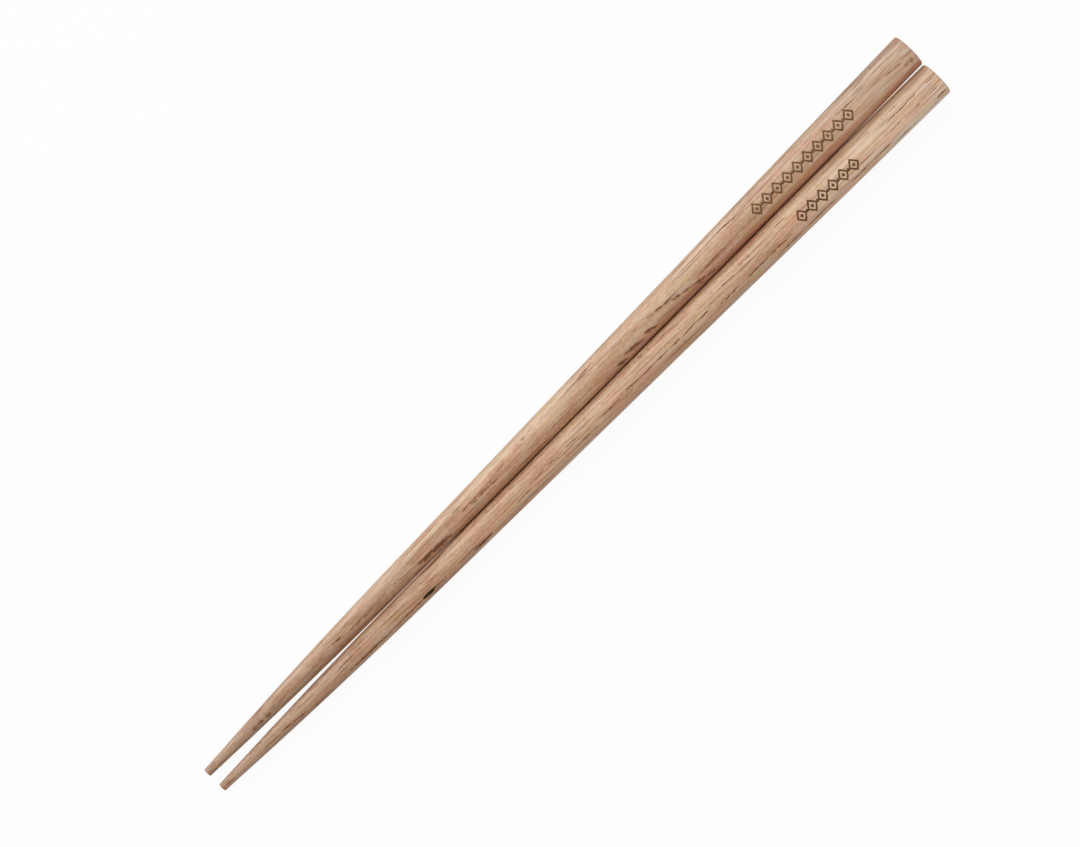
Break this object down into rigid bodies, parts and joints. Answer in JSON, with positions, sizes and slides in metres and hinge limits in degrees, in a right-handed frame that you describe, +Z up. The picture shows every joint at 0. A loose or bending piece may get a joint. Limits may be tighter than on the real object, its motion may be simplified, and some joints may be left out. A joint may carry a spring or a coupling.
{
  "type": "pair of chopsticks",
  "caption": "Round tapered wooden chopsticks lying side by side, with slim eased tips and flat butt ends, for picking up food.",
  "frame": {"origin": "on the table, under the seam between the sticks, at half their length", "axes": "+X from the tips to the butts, +Y towards the left stick, +Z up from the table"},
  "size_m": [0.23, 0.0178, 0.0088],
  "materials": {
    "left_wood": "matte",
    "right_wood": "matte"
  },
  "bodies": {
    "root": {"left_chopstick": "left_wood", "right_chopstick": "right_wood"}
  },
  "joints": []
}
